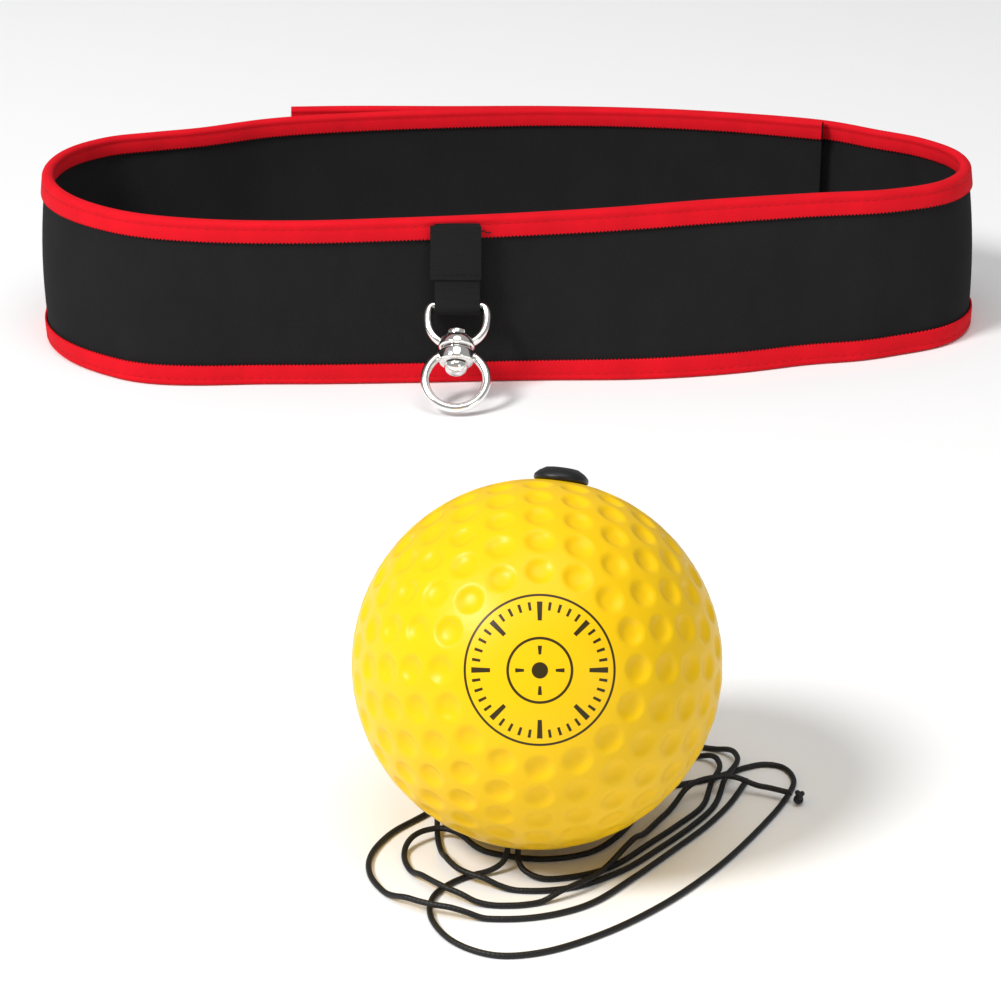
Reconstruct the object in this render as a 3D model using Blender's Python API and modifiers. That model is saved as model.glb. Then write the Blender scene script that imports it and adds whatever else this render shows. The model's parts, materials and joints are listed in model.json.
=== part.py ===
"""Reflex ball headband: an elastic headband with a swivel, and a foam ball on a doubled cord.

Units are metres with +Z up.  The headband stands on its lower edge, closed on itself at the back;
the ball and its two cord tails lie in front of it.
"""
import math

import bmesh
import bpy
from mathutils import Matrix, Vector

MM = 0.001
LAYOUT_MIDDLE = Vector((1.51, -5.88, 0.0)) * MM    # becomes the origin

# Headband strip
STRAP_HEIGHT = 42.5 * MM
STRAP_THICKNESS = 1.4 * MM
BINDING_THICKNESS = 0.5 * MM
BINDING_LEG = 5.3 * MM
BINDING_GAP = 0.25 * MM
PATCH_THICKNESS = 0.6 * MM
PATCH_MARGIN = 7.0 * MM
LAYER_STEP = 3.4 * MM          # between the middles of the two overlapping layers
TONGUE_FLARE = 9.0 * MM        # the outer end stands off the layer below by this much more
INNER_END_RISE = 0.8 * MM
SAMPLES_PER_STRETCH = 5
SPLIT_STRETCH = 28             # the tongue starts at this point of the strip's path
OVERLAP_POINTS = 7
LAST_SHARE = 0.66              # of the last stretch of the overlap

# Swivel
WIRE_RADIUS = 1.1 * MM
RING_BAR_HEIGHT = 20.9 * MM
RING_BAR_STAND_OFF = 4.1 * MM
SWIVEL_LEAN = math.radians(46.0)
TAB_WIDTH = 11.0 * MM
TAB_THICKNESS = 0.8 * MM
TAB_TOP = 41.2 * MM
TAB_LOOSENESS = 0.25 * MM      # round the ring's bar
TAB_TURN = math.radians(-8.6)  # from the strip's direction, so the swivel hangs straight ahead
RIVET_BORE = 1.65 * MM         # through both collars; the rivet's shank is 0.15 mm less
# Middle line of the D ring's wire (across, along the swivel), from the collar to the bar, mm
D_RING = [(-1.9, 10.2), (-4.3, 9.2), (-6.4, 6.7), (-7.1, 3.9), (-7.05, 1.6), (-6.6, 0.4), (-6.0, 0.0),
          (-3.0, 0.0)]
EYE_MIDDLE = 19.5              # of the round ring along the swivel, mm
EYE_RADIUS = 7.4               # to the middle of its wire, mm
EYE_SHOULDER = [(-2.4, 14.0), (-4.3, 13.6)]
# Turned outlines: (radius, distance from the bar), mm
UPPER_COLLAR = [(3.1, 11.6), (4.4, 11.1), (4.4, 9.2), (3.5, 8.4), (1.65, 8.4), (1.65, 11.6)]
LOWER_COLLAR = [(3.6, 15.4), (4.3, 14.9), (4.3, 12.6), (3.9, 12.1), (1.65, 12.1), (1.65, 15.4)]
WASHER = [(3.5, 11.95), (3.5, 11.75), (1.65, 11.75), (1.65, 11.95)]
RIVET = [(0, 18.2), (1.6, 17.9), (2.6, 17.0), (2.85, 15.7), (1.5, 15.7), (1.5, 8.1), (2.4, 8.1),
         (2.4, 6.8), (1.7, 6.3), (0, 6.3)]

# Ball and cord
BALL_RADIUS = 32.5 * MM
BALL_CENTRE = Vector((5.2 * MM, -144.5 * MM, BALL_RADIUS))
BALL_AXIS = Vector((0.13, 0.45, 0.883)).normalized()
CORD_RADIUS = 0.53 * MM
CORD_CLEARANCE = 0.45 * MM
EXIT_SPREAD = 0.95 * MM        # from the bore's middle to each tail's middle
HUMP_LENGTH = 9.5 * MM         # half of the stretch over which a tail rises and falls
OWN_REACH = 14.0 * MM          # along one tail, nearer stretches can't cross
PLUG_BORE = 3.8 * MM
PLUG_DEPTH = 20.0 * MM
CORD_BORE = 1.85 * MM
PLUG = [(0.0, 2.2), (2.6, 1.9), (4.3, 1.0), (4.9, 0.35), (4.9, 0.0), (3.4, 0.0), (3.4, -9.0),
        (0.0, -9.0)]           # (radius, height over the ball), mm
DOUBLED_CORD_RADIUS = 1.06 * MM
ANCHOR_KNOT_RADIUS = 2.8 * MM

# Middle line of the strip in plan, from the inner end at the back round to the right end, mm
STRAP_PLAN = [(83.6, 147.1), (60, 154.2), (38, 158.2), (12, 159.8), (-15, 157.8), (-40, 155.2),
              (-62, 150.8), (-80, 143), (-92, 139.8), (-103, 135.6), (-111.5, 126.5), (-115, 114),
              (-113.2, 99.5), (-105.5, 86), (-92, 75), (-74, 69.3), (-50, 67.8), (-25, 70), (0, 73.2),
              (25, 77.7), (50, 83.9), (75, 88.8), (95, 92), (108.5, 98.6), (115.8, 110.2),
              (115.4, 123.5), (108, 134.5), (97, 142.2)]
TAB_STRETCH = 17.54           # where on the strip's path the ring tab is sewn

# Routes of the two tails as they lie, left one underneath: plan and lowest height, mm
LEFT_TAIL = [(-0.8, -160.6, 1.9), (-3.0, -161.9, 1.0), (-6.6, -163, 0.53), (-10.2, -165.8, 0.53),
             (-12.8, -170, 0.53), (-13, -176.5, 0.53), (-9.2, -184, 0.53), (-2.5, -188.2, 0.53),
             (5, -187.6, 0.53), (15.5, -182, 0.53), (26.5, -172.5, 0.53), (36.5, -160.5, 0.53),
             (44.5, -148, 0.53), (50.8, -136, 0.53), (52.9, -129, 0.53), (51.3, -124.3, 0.53),
             (47.4, -123.2, 0.53), (36, -129.3, 0.53), (26, -131.8, 0.53), (14, -129, 0.53),
             (2, -128.5, 0.53), (-8, -134.5, 0.53), (-15.8, -142.8, 0.53), (-21, -148.8, 0.53),
             (-24.2, -157, 0.53), (-23.3, -164.5, 0.53), (-17.5, -172.3, 0.53), (-7, -176.4, 0.53),
             (4, -176.6, 0.53), (13.5, -172.6, 0.53), (22, -163.5, 0.53), (29, -154.7, 0.53),
             (35.6, -146, 0.53), (40.4, -138, 0.53), (44.2, -129.2, 0.53)]
RIGHT_TAIL = [(2.0, -160.8, 2.0), (3.2, -162.6, 1.2), (6.4, -164, 0.58), (13.4, -162.6, 0.53),
              (18.8, -159.4, 0.53), (25.4, -151.8, 0.53), (31, -145, 0.53), (35.2, -139.2, 0.53),
              (37.4, -132.6, 0.53), (39.4, -126, 0.53), (37.5, -121.2, 0.53), (30, -120.2, 0.53),
              (14, -120, 0.53), (-3, -121.5, 0.53), (-12.8, -131, 0.53), (-12.6, -142, 0.53),
              (-12, -153, 0.53), (-8.6, -163, 0.53), (1, -167.6, 0.53), (10.5, -167, 0.53),
              (19.6, -161.6, 0.53), (27.2, -153.3, 0.53), (33.3, -145.6, 0.53), (37.4, -139, 0.53),
              (39.8, -131.4, 0.53), (42.9, -123.6, 0.53), (40.8, -118.5, 0.53), (35, -116.4, 0.53),
              (29.2, -119, 0.53), (27, -127, 0.53), (24.5, -138, 0.53), (20.5, -148, 0.53),
              (14.6, -155, 0.53), (6, -157.3, 0.53), (-3.6, -154.8, 0.53), (-12, -149.4, 0.53),
              (-17.8, -153.5, 0.53), (-16.6, -162, 0.53), (-8, -171, 0.53), (3, -172.4, 0.53),
              (14.5, -166, 0.53), (21.4, -154.6, 0.53), (26.6, -145, 0.53), (32.4, -136.4, 0.53),
              (39, -132.8, 0.53), (46, -133.9, 0.53), (51.8, -136.6, 0.53)]
END_KNOT_RADIUS = 1.35 * MM


def finish(name, colour, roughness, metallic=0.0):
    """A plain material with the part's colour."""
    material = bpy.data.materials.new(name)
    material.use_nodes = True
    shader = material.node_tree.nodes["Principled BSDF"]
    shader.inputs["Base Color"].default_value = (*colour, 1.0)
    shader.inputs["Roughness"].default_value = roughness
    shader.inputs["Metallic"].default_value = metallic
    return material


def collection(name):
    group = bpy.data.collections.new(name)
    bpy.context.scene.collection.children.link(group)
    return group


def show(name, mesh, material, group, origin=Vector((0, 0, 0)), sharp=40.0):
    """Put a mesh in the model as an object whose origin is at the given place."""
    mesh.name = name
    mesh.transform(Matrix.Translation(-origin))
    mesh.materials.clear()
    mesh.materials.append(material)
    mesh.shade_smooth()
    mesh.set_sharp_from_angle(angle=math.radians(sharp))
    piece = bpy.data.objects.new(name, mesh)
    piece.location = origin
    group.objects.link(piece)
    return piece


def smooth(points, samples):
    """Points along the centripetal curve through the given ones."""
    ends = [points[0] * 2 - points[1], *points, points[-1] * 2 - points[-2]]
    line = []
    for a, b, c, d in zip(ends, ends[1:], ends[2:], ends[3:]):
        at = [0.0]
        for p, q in ((a, b), (b, c), (c, d)):
            at.append(at[-1] + math.sqrt((q - p).length))
        for i in range(samples):
            t = at[1] + (at[2] - at[1]) * i / samples
            ab = a.lerp(b, (t - at[0]) / (at[1] - at[0]))
            bc = b.lerp(c, (t - at[1]) / (at[2] - at[1]))
            cd = c.lerp(d, (t - at[2]) / (at[3] - at[2]))
            abc = ab.lerp(bc, (t - at[0]) / (at[2] - at[0]))
            bcd = bc.lerp(cd, (t - at[1]) / (at[3] - at[1]))
            line.append(abc.lerp(bcd, (t - at[1]) / (at[2] - at[1])))
    line.append(points[-1].copy())
    return line


def clean(mesh):
    """Weld a mesh and turn its faces outwards."""
    work = bmesh.new()
    work.from_mesh(mesh)
    bmesh.ops.remove_doubles(work, verts=work.verts, dist=1e-7)
    bmesh.ops.recalc_face_normals(work, faces=work.faces)
    work.to_mesh(mesh)
    work.free()
    return mesh


def mesh_of(piece):
    """The evaluated mesh of a helper object in world space; the helper is removed."""
    bpy.context.view_layer.update()
    evaluated = piece.evaluated_get(bpy.context.evaluated_depsgraph_get())
    mesh = bpy.data.meshes.new_from_object(evaluated)
    mesh.transform(piece.matrix_world)
    bpy.data.objects.remove(piece)
    return clean(mesh)


def poly_curve(name, points, group, cyclic=False):
    data = bpy.data.curves.new(name, "CURVE")
    data.dimensions = "3D"
    spline = data.splines.new("POLY")
    spline.points.add(len(points) - 1)
    for slot, point in zip(spline.points, points):
        slot.co = (*point, 1.0)
    spline.use_cyclic_u = cyclic
    piece = bpy.data.objects.new(name, data)
    group.objects.link(piece)
    return piece


def swept(line, outline, group):
    """A mesh of one flat outline (distance to the right, height) carried along a line."""
    profile = poly_curve("profile", [Vector((x, y, 0)) for x, y in outline], group, cyclic=True)
    profile.data.dimensions = "2D"
    path = poly_curve("path", line, group)
    path.data.twist_mode = "Z_UP"
    path.data.bevel_mode = "OBJECT"
    path.data.bevel_object = profile
    path.data.use_fill_caps = True
    mesh = mesh_of(path)
    bpy.data.objects.remove(profile)
    return mesh


def tube(line, radius, group):
    path = poly_curve("tube", line, group)
    path.data.bevel_depth = radius
    path.data.bevel_resolution = 2
    path.data.use_fill_caps = True
    return mesh_of(path)


def turned(profile, segments, group):
    """A mesh turned about Z from a profile of (radius, height) that runs down its outer side."""
    data = bpy.data.meshes.new("turned")
    work = bmesh.new()
    ring = [work.verts.new((r, 0, z)) for r, z in profile]
    for i, vert in enumerate(ring):
        if i + 1 < len(ring):
            work.edges.new((vert, ring[i + 1]))
    if profile[0][0] > 0 and profile[-1][0] > 0:
        work.edges.new((ring[-1], ring[0]))
    work.to_mesh(data)
    work.free()
    piece = bpy.data.objects.new("turned", data)
    group.objects.link(piece)
    screw = piece.modifiers.new("turn", "SCREW")
    screw.steps = segments
    screw.render_steps = segments
    screw.use_merge_vertices = True
    screw.merge_threshold = 1e-6
    return mesh_of(piece)


def united(meshes, group):
    """One mesh from several that overlap."""
    bodies = []
    for mesh in meshes:
        piece = bpy.data.objects.new("blank", mesh)
        group.objects.link(piece)
        bodies.append(piece)
    for other in bodies[1:]:
        join = bodies[0].modifiers.new("join", "BOOLEAN")
        join.operation = "UNION"
        join.object = other
    mesh = mesh_of(bodies[0])
    for other in bodies[1:]:
        bpy.data.objects.remove(other)
    return mesh


def strap_line():
    """Middle line of the whole strip, sampled, ending in the tongue that laps over the inner end."""
    base = [Vector((x, y, 0)) * MM for x, y in STRAP_PLAN]
    lap = []
    for i in range(OVERLAP_POINTS):
        along = base[i + 1] - base[max(i - 1, 0)]
        outward = Vector((along.y, -along.x, 0)).normalized()
        loose = max(0.0, (i - 2.5) / (OVERLAP_POINTS - 3.5))
        lap.append(base[i] + outward * (LAYER_STEP + TONGUE_FLARE * loose ** 1.6))
    lap[-1] = lap[-2].lerp(lap[-1], LAST_SHARE)
    for i, point in enumerate(base[:9]):
        point.z = INNER_END_RISE * min(1.0, (8 - i) / 4)
    line = smooth(base + lap, SAMPLES_PER_STRETCH)
    return [point - LAYOUT_MIDDLE for point in line]


def ease(value):
    value = min(1.0, max(0.0, value))
    return value * value * (3 - 2 * value)


def settle(mesh):
    """Lean the standing strip: its lower edge set out at the right and at both front corners."""
    for vert in mesh.vertices:
        x = (vert.co.x + LAYOUT_MIDDLE.x) / MM
        y = (vert.co.y + LAYOUT_MIDDLE.y) / MM
        low = 1.0 - vert.co.z / STRAP_HEIGHT
        front = ease((111 - y) / 20)
        right_out = 8.7 * math.exp(-((x - 52) / 38) ** 2)
        left_in = 2.0 * math.exp(-((x + 52) / 26) ** 2)
        corners_out = (1.8 * ease((x - 70) / 20) + 3.6 * ease((-58 - x) / 38)) * ease((122 - y) / 20)
        vert.co.y += ((left_in - right_out) * front - corners_out) * low * MM
        vert.co.x += (2.4 * ease((x - 96) / 16) - 0.8 * ease((-96 - x) / 16)) * low * MM
    return mesh


def box_outline(near, far, low, high):
    return [(near, low), (far, low), (far, high), (near, high)]


def binding_outline(edge, inward):
    """A folded tape round one edge of the strip; inward is +1 for the lower edge, -1 for the upper."""
    inside = STRAP_THICKNESS / 2 + BINDING_GAP
    outside = inside + BINDING_THICKNESS
    floor = edge + inward * BINDING_THICKNESS
    hem = edge + inward * BINDING_LEG
    return [(-outside, edge), (outside, edge), (outside, hem), (inside, hem),
            (inside, floor), (-inside, floor), (-inside, hem), (-outside, hem)]


def build_strap(parts, cutters, finishes):
    """The strip's body, its bindings and the two closure patches."""
    line = strap_line()
    split = SPLIT_STRETCH * SAMPLES_PER_STRETCH
    gap = (line[split + 1] - line[split]).normalized() * 0.15 * MM
    main = line[:split] + [line[split] - gap]
    tongue = [line[split] + gap] + line[split + 1:]
    half = STRAP_THICKNESS / 2
    low = BINDING_THICKNESS + BINDING_GAP
    body = box_outline(-half, half, low, STRAP_HEIGHT - low)
    top = binding_outline(STRAP_HEIGHT, -1)
    bottom = binding_outline(0.0, 1)
    patch_near = half + BINDING_GAP
    patch_far = patch_near + PATCH_THICKNESS
    patch_low = PATCH_MARGIN
    patch_high = STRAP_HEIGHT - PATCH_MARGIN
    hinge = tongue_hinge(line[split], tongue[1] - tongue[0])
    for piece, run, origin in (("band", main, Vector((0, 0, 0))), ("tongue", tongue, hinge)):
        show(piece + "_elastic", settle(swept(run, body, cutters)), finishes["elastic"], parts, origin)
        show(piece + "_top_binding", settle(swept(run, top, cutters)), finishes["binding"], parts, origin)
        show(piece + "_bottom_binding", settle(swept(run, bottom, cutters)), finishes["binding"], parts,
             origin)
    loop_run = line[1:4 * SAMPLES_PER_STRETCH]
    loop_outline = box_outline(patch_near, patch_far, patch_low, patch_high)
    show("loop_patch", swept(loop_run, loop_outline, cutters), finishes["loop"], parts)
    hook_run = line[split + 1 + SAMPLES_PER_STRETCH:-2]
    hook_outline = box_outline(-patch_far, -patch_near, patch_low, patch_high)
    show("hook_patch", swept(hook_run, hook_outline, cutters), finishes["hook"], parts, hinge)


def tongue_hinge(place, along):
    """Foot of the upright line that the tongue peels about: the split's outer face."""
    outward = Vector((along.y, -along.x, 0)).normalized()
    outer = STRAP_THICKNESS / 2 + BINDING_GAP + BINDING_THICKNESS
    spot = place + outward * outer
    return Vector((spot.x, spot.y, 0.0))


def tab_frame():
    """Place and directions of the ring tab: a point on the strip's middle line, along and outward."""
    line = strap_line()
    at = TAB_STRETCH * SAMPLES_PER_STRETCH
    i = int(at)
    place = line[i].lerp(line[i + 1], at - i)
    along = (line[i + 1] - line[i]).normalized()
    along.rotate(Matrix.Rotation(TAB_TURN, 3, "Z"))
    outward = Vector((along.y, -along.x, 0)).normalized()
    return place, along, outward


def swivel_matrix():
    """Turns (across, outward from the ring's plane, along the swivel) into the model's frame."""
    place, along, outward = tab_frame()
    bar = place + outward * RING_BAR_STAND_OFF + Vector((0, 0, RING_BAR_HEIGHT))
    down = outward * math.sin(SWIVEL_LEAN) - Vector((0, 0, 1)) * math.cos(SWIVEL_LEAN)
    normal = down.cross(along)
    turn = Matrix((along, normal, down)).transposed().to_4x4()
    return Matrix.Translation(bar) @ turn


def build_tab(parts, cutters, finishes):
    """The folded webbing: down the outer ply, round the ring's bar and up the inner ply."""
    place, along, outward = tab_frame()
    loop_radius = WIRE_RADIUS + TAB_LOOSENESS + TAB_THICKNESS / 2
    half_ply = TAB_THICKNESS / 2 + 0.1 * MM
    centre = RING_BAR_STAND_OFF
    pinch = RING_BAR_HEIGHT + 4.5 * MM
    side = [(centre + half_ply, TAB_TOP), (centre + half_ply, pinch)]
    for step in range(13):
        angle = math.radians(30 - 20 * step)
        side.append((centre + loop_radius * math.cos(angle), RING_BAR_HEIGHT + loop_radius * math.sin(angle)))
    side.append((centre - half_ply, pinch))
    side.append((centre - half_ply, TAB_TOP))
    flat = [Vector((out, up, 0)) for out, up in side]
    half_width = TAB_WIDTH / 2
    half = TAB_THICKNESS / 2
    mesh = swept(flat, box_outline(-half, half, -half_width, half_width), cutters)
    turn = Matrix((outward, Vector((0, 0, 1)), along)).transposed().to_4x4()
    mesh.transform(Matrix.Translation(place) @ turn)
    show("ring_tab", clean(mesh), finishes["webbing"], parts)


def mirrored_line(points, samples):
    """A smooth line that is the same on both sides of X = 0; the points run from one end to the middle."""
    half = [Vector((x, 0, z)) * MM for x, z in points]
    other = [Vector((-p.x, 0, p.z)) for p in reversed(half)]
    return smooth(half + other, samples)


def build_swivel(parts, cutters, finishes):
    """D ring with its collar, washer, round ring with its collar, and the rivet through them."""
    frame = swivel_matrix()
    origin = frame.translation.copy()
    steel = finishes["steel"]
    eye_line = list(EYE_SHOULDER)
    for degrees in range(-35, 90, 20):
        angle = math.radians(degrees)
        eye_line.append((-EYE_RADIUS * math.cos(angle), EYE_MIDDLE + EYE_RADIUS * math.sin(angle)))
    d_ring = tube(mirrored_line(D_RING, 3), WIRE_RADIUS, cutters)
    eye = tube(mirrored_line(eye_line, 3), WIRE_RADIUS, cutters)
    upper_collar, lower_collar, washer, rivet = [
        turned([(r * MM, z * MM) for r, z in outline], 24, cutters)
        for outline in (UPPER_COLLAR, LOWER_COLLAR, WASHER, RIVET)]
    drilled = bored(united([d_ring, upper_collar], cutters), 7.8, 11.9, cutters)
    drilled_eye = bored(united([eye, lower_collar], cutters), 11.8, 15.9, cutters)
    for name, mesh in (("swivel_upper_ring", drilled), ("swivel_lower_ring", drilled_eye),
                       ("swivel_rivet", rivet), ("swivel_washer", washer)):
        mesh.transform(frame)
        show(name, clean(mesh), steel, parts, origin)


def bored(mesh, start, end, group):
    """The mesh with the rivet's bore cut through it along Z."""
    bpy.ops.mesh.primitive_cylinder_add(vertices=24, radius=RIVET_BORE, depth=(end - start) * MM,
                                        location=(0, 0, (start + end) / 2 * MM))
    drill = bpy.context.object
    piece = bpy.data.objects.new("blank", mesh)
    group.objects.link(piece)
    cut = piece.modifiers.new("bore", "BOOLEAN")
    cut.operation = "DIFFERENCE"
    cut.object = drill
    result = mesh_of(piece)
    bpy.data.objects.remove(drill)
    return result


def build_ball(parts, cutters, finishes):
    """Foam ball with its stepped bore, the plug, the anchor knot and the doubled cord inside."""
    steps = 20
    start = math.asin(PLUG_BORE / BALL_RADIUS)
    stop = math.pi - math.asin(CORD_BORE / BALL_RADIUS)
    profile = []
    for i in range(steps + 1):
        angle = start + (stop - start) * i / steps
        profile.append((BALL_RADIUS * math.sin(angle), BALL_RADIUS * math.cos(angle)))
    profile.append((CORD_BORE, BALL_RADIUS - PLUG_DEPTH))
    profile.append((PLUG_BORE, BALL_RADIUS - PLUG_DEPTH))
    frame = Matrix.Translation(BALL_CENTRE - LAYOUT_MIDDLE)
    frame = frame @ BALL_AXIS.to_track_quat("Z", "X").to_matrix().to_4x4()
    origin = frame.translation.copy()
    foam = turned(profile, 40, cutters)
    head = BALL_RADIUS + 0.1 * MM
    plug = turned([(r * MM, head + z * MM) for r, z in PLUG], 28, cutters)
    seat = BALL_RADIUS - PLUG_DEPTH
    knot = round_knot(ANCHOR_KNOT_RADIUS, cutters)
    knot.transform(Matrix.Translation((0, 0, seat + ANCHOR_KNOT_RADIUS + 0.3 * MM)))
    core = DOUBLED_CORD_RADIUS
    inner_top = seat - 0.1 * MM
    inner_low = -BALL_RADIUS + 1.0 * MM
    inner = turned([(0, inner_top), (core, inner_top), (core, inner_low), (0, inner_low)], 12, cutters)
    for name, mesh, material in (("ball_foam", foam, "foam"), ("ball_plug", plug, "plug"),
                                 ("anchor_knot", knot, "cord"), ("cord_in_ball", inner, "cord")):
        mesh.transform(frame)
        show(name, clean(mesh), finishes[material], parts, origin, sharp=50.0)


def round_knot(radius, group):
    """A pulled-tight knot as a plain ball."""
    angles = [math.pi * i / 8 for i in range(9)]
    return turned([(radius * math.sin(a), radius * math.cos(a)) for a in angles], 16, group)


def tail_line(route, side, below):
    """A tail from its exit along its route, lifted in long low humps over the strands below."""
    across = Vector((1, 0, 0)) - BALL_AXIS * BALL_AXIS.x
    leave = BALL_CENTRE - LAYOUT_MIDDLE - BALL_AXIS * (BALL_RADIUS - 0.6 * MM)
    leave = leave + across.normalized() * side * EXIT_SPREAD
    points = [leave, leave - BALL_AXIS * 1.3 * MM]
    points += [Vector(p) * MM - LAYOUT_MIDDLE for p in route]
    line = smooth(points, 8)
    for point in line:
        point.z = max(point.z, CORD_RADIUS)
    walked = [0.0]
    for p, q in zip(line, line[1:]):
        walked.append(walked[-1] + (q - p).length)
    lifts = [0.0] * len(line)
    touching = 2.4 * CORD_RADIUS
    for i, point in enumerate(line):
        earlier = [q.z for q in below if (q - point).xy.length < touching]
        earlier += [line[j].z + lifts[j] for j in range(i)
                    if walked[i] - walked[j] > OWN_REACH and (line[j] - point).xy.length < touching]
        if not earlier:
            continue
        lift = max(0.0, max(earlier) + 2 * CORD_RADIUS + CORD_CLEARANCE - point.z)
        for j, place in enumerate(walked):
            near = 1 - abs(place - walked[i]) / HUMP_LENGTH
            lifts[j] = max(lifts[j], lift * ease(1.5 * near))
    return [point + Vector((0, 0, lift)) for point, lift in zip(line, lifts)]


def build_cord(parts, cutters, finishes):
    """Two tails of one doubled cord, as they lie, and the knot at the end of the right one."""
    left_line = tail_line(LEFT_TAIL, -1, [])
    right_line = tail_line(RIGHT_TAIL, 1, left_line)
    thin = 4
    for name, line in (("cord_left_tail", left_line), ("cord_right_tail", right_line)):
        run = line[:-1:thin] + line[-1:]
        show(name, tube(run, CORD_RADIUS, cutters), finishes["cord"], parts)
    end = right_line[-1]
    along = (right_line[-1] - right_line[-4]).normalized()
    middle = end + along * (END_KNOT_RADIUS + 0.3 * MM)
    middle.z = (end.z + END_KNOT_RADIUS) / 2
    knot = round_knot(END_KNOT_RADIUS, cutters)
    knot.transform(Matrix.Translation(middle))
    show("cord_end_knot", clean(knot), finishes["cord"], parts)


def main():
    for old in list(bpy.data.objects):
        bpy.data.objects.remove(old)
    parts = collection("reflex_ball_headband")
    cutters = collection("cutters")
    finishes = {
        "elastic": finish("black_elastic", (0.018, 0.018, 0.019), 0.9),
        "binding": finish("red_binding", (0.80, 0.012, 0.025), 0.75),
        "loop": finish("soft_loop", (0.02, 0.02, 0.02), 1.0),
        "hook": finish("stiff_hook", (0.03, 0.03, 0.03), 0.6),
        "webbing": finish("black_webbing", (0.02, 0.02, 0.021), 0.85),
        "steel": finish("nickel_plate", (0.78, 0.78, 0.78), 0.18, 1.0),
        "foam": finish("yellow_foam", (0.92, 0.70, 0.02), 0.45),
        "plug": finish("black_plug", (0.015, 0.015, 0.015), 0.5),
        "cord": finish("black_cord", (0.012, 0.013, 0.013), 0.55),
    }
    build_strap(parts, cutters, finishes)
    build_tab(parts, cutters, finishes)
    build_swivel(parts, cutters, finishes)
    build_ball(parts, cutters, finishes)
    build_cord(parts, cutters, finishes)


main()
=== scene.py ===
"""A reflex ball headband: elastic headband, swivel, dimpled foam ball and doubled elastic cord.

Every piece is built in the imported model's own frame, in metres, with +Z up.
"""
import json
import math

import bmesh
import bpy
from mathutils import Matrix, Vector
from mathutils.kdtree import KDTree


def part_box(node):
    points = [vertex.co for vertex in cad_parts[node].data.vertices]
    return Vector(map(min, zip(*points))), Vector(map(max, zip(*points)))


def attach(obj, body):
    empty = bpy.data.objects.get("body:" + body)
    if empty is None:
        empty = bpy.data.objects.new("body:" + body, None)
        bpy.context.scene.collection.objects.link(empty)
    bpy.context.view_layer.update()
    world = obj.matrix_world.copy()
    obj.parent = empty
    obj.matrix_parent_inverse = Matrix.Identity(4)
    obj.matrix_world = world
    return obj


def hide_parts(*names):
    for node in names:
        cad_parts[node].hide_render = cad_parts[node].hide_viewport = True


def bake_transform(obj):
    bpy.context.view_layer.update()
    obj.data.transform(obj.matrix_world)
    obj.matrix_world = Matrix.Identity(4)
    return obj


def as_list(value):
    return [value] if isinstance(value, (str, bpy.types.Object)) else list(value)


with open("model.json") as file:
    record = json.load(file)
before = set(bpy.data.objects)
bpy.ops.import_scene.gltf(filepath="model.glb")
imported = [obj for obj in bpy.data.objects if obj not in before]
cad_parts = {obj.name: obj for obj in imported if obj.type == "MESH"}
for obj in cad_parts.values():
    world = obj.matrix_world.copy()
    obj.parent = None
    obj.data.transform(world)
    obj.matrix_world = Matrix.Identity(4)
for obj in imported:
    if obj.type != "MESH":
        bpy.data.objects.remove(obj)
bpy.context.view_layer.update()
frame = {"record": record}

bl_info = {
    "name": "Reflex Ball Headband",
    "version": (1, 0, 0),
    "blender": (4, 5, 0),
    "location": "3D View > Sidebar > Headband",
    "description": "Builds an elastic headband with a swivel, and a foam ball on a cord",
    "category": "Add Mesh",
}

MM = 0.001
UP = Vector((0, 0, 1))
LAYOUT_MIDDLE = Vector((1.51, -5.88, 0.0)) * MM
HEADBAND = "headband"
TONGUE = "closure_tongue"
BALL = "ball"
SWIVEL_TOP = "swivel_top"
SWIVEL_BOTTOM = "swivel_bottom"

# Middle line of the strap in plan, from its inner end at the back round to the right end, mm
STRAP_PLAN = [(83.6, 147.1), (60, 154.2), (38, 158.2), (12, 159.8), (-15, 157.8), (-40, 155.2),
              (-62, 150.8), (-80, 143), (-92, 139.8), (-103, 135.6), (-111.5, 126.5), (-115, 114),
              (-113.2, 99.5), (-105.5, 86), (-92, 75), (-74, 69.3), (-50, 67.8), (-25, 70), (0, 73.2),
              (25, 77.7), (50, 83.9), (75, 88.8), (95, 92), (108.5, 98.6), (115.8, 110.2),
              (115.4, 123.5), (108, 134.5), (97, 142.2)]
OVERLAP_POINTS = 7
LAST_SHARE = 0.66              # of the last stretch of the overlap
LAYER_STEP = 3.4 * MM          # between the middles of the two overlapping layers
TONGUE_FLARE = 9.0 * MM        # the outer end stands off the layer below by this much more
INNER_END_RISE = 0.8 * MM
STRETCH_SAMPLES = 40
SPLIT_STRETCH = 28             # the tongue starts at this point of the strap's path
TAB_STRETCH = 17.54           # where on the path the ring tab is sewn
TAB_TURN = math.radians(-8.6)  # from the strap's direction, so the swivel hangs straight ahead
BEND_HALF = 7.0 * MM           # half of the stretch between the strap and the tongue
COLUMN = 0.45 * MM             # spacing of the sections along the strap

# How the standing strap leans: its lower edge set out or in, mm
FRONT_OUT = (8.7, 52, 38)      # most, where along X, spread
FRONT_IN = (2.0, -52, 26)
FRONT_START = (111, -20)       # ramps: where they start, how long they are
CORNER_START = (122, -20)
RIGHT_CORNER = (1.8, 70, 20)   # most, where its ramp starts, how long it is
LEFT_CORNER = (3.6, -58, -38)
RIGHT_END = (96, 16)
LEFT_END = (-96, -16)
END_LEAN = (2.4, 0.8)          # right and left
END_BULGE = (1.1, 1.3)

LOOSE = 0.25 * MM              # between the layers that are sewn together
INNER_LEG_SHARE = 0.88         # the binding's leg inside the loop is shorter than its outer leg
SEAM_SHARE = 0.36              # how far up its leg the binding is sewn
STITCH_SHARE = 0.7             # of the stitch pitch that is thread
PATCH_MARGIN = 7.0 * MM        # from the strap's edges to the closure patches

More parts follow.
